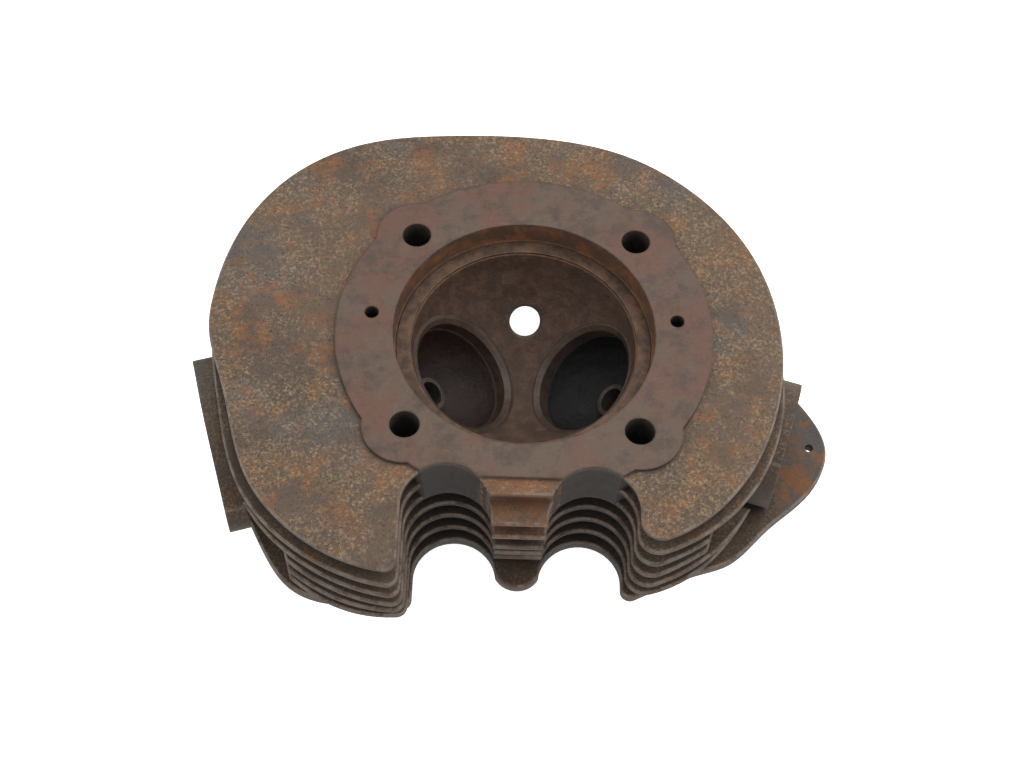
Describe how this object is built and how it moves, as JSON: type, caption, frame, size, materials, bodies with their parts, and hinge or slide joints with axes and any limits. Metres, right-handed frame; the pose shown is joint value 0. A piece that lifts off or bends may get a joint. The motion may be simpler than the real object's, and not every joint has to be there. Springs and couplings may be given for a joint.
{
  "type": "cylinder head",
  "caption": "Air-cooled overhead-valve cylinder head, bare, with hemispherical chamber, splayed ports, cooling fins, pushrod scallops, valve seats and guides.",
  "frame": {"origin": "centre of the cylinder bore on the gasket face, which is also the centre of the four stud holes", "axes": "+Z out of the gasket face along the cylinder axis; +X towards the exhaust port; -Y towards the pushrod scallops, +Y towards the spark plug"},
  "size_m": [0.2365, 0.1855, 0.086],
  "materials": {
    "iron": "rusted and oily casting, with a machined gasket pad",
    "joint_ring": "copper ring, tarnished brown",
    "seat": "ground insert, dulled by heat",
    "guide": "turned and oil-stained",
    "spring_steel": "blackened by oil",
    "pressed_steel": "pressed and oil-stained"
  },
  "bodies": {
    "root": {"head_casting": "iron", "spigot_joint_ring": "joint_ring", "inlet_valve_seat": "seat", "exhaust_valve_seat": "seat", "inlet_valve_guide": "guide", "exhaust_valve_guide": "guide", "inlet_guide_circlip": "spring_steel", "exhaust_guide_circlip": "spring_steel", "inlet_spring_cup": "pressed_steel", "exhaust_spring_cup": "pressed_steel"}
  },
  "joints": []
}
